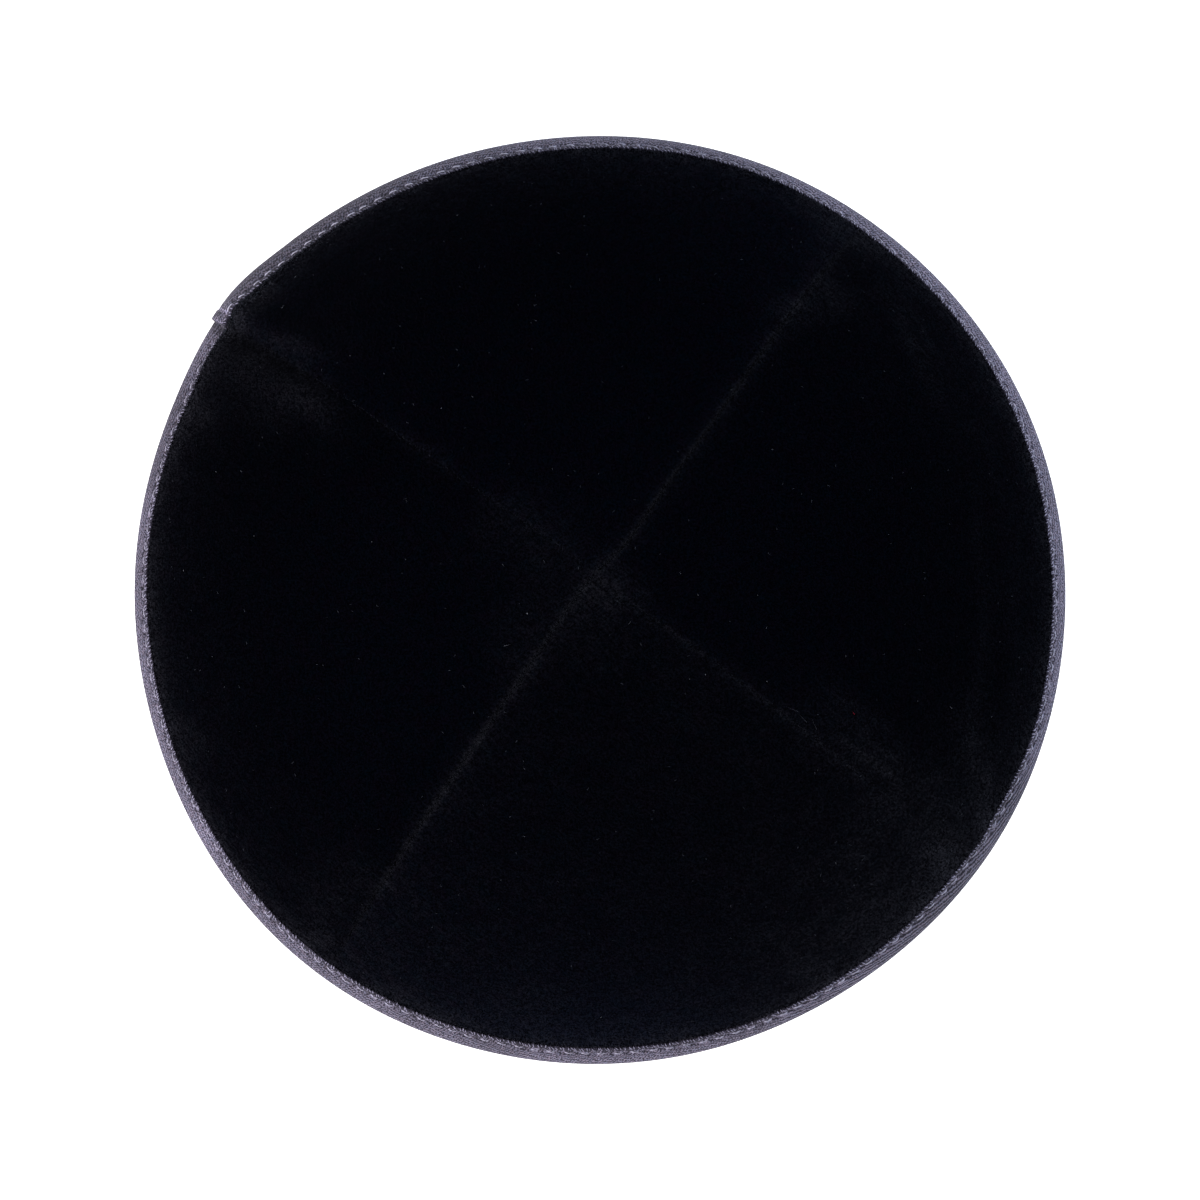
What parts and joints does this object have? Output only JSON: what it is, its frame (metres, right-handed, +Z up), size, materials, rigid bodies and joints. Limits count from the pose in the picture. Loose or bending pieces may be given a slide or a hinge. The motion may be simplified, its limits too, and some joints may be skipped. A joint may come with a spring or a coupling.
{
  "type": "kippah",
  "caption": "Round velvet skullcap: a shallow hollow dome of sewn wedge panels with crossed seams, and a folded woven tape round its rim.",
  "frame": {"origin": "middle of the cap's bounding box, on the surface that its rim stands on", "axes": "+Z up through the crown, +X to the right and -Y to the front as the picture shows the cap from above"},
  "size_m": [0.1798, 0.1798, 0.0504],
  "materials": {
    "velvet": "dense short cut pile, black with a blue tinge, soft sheen where the pile is pressed",
    "woven_tape": "matte grey-violet twill tape with lighter topstitching"
  },
  "bodies": {
    "root": {"panel_back": "velvet", "panel_left": "velvet", "panel_front": "velvet", "panel_right": "velvet", "rim_binding": "woven_tape"}
  },
  "joints": []
}
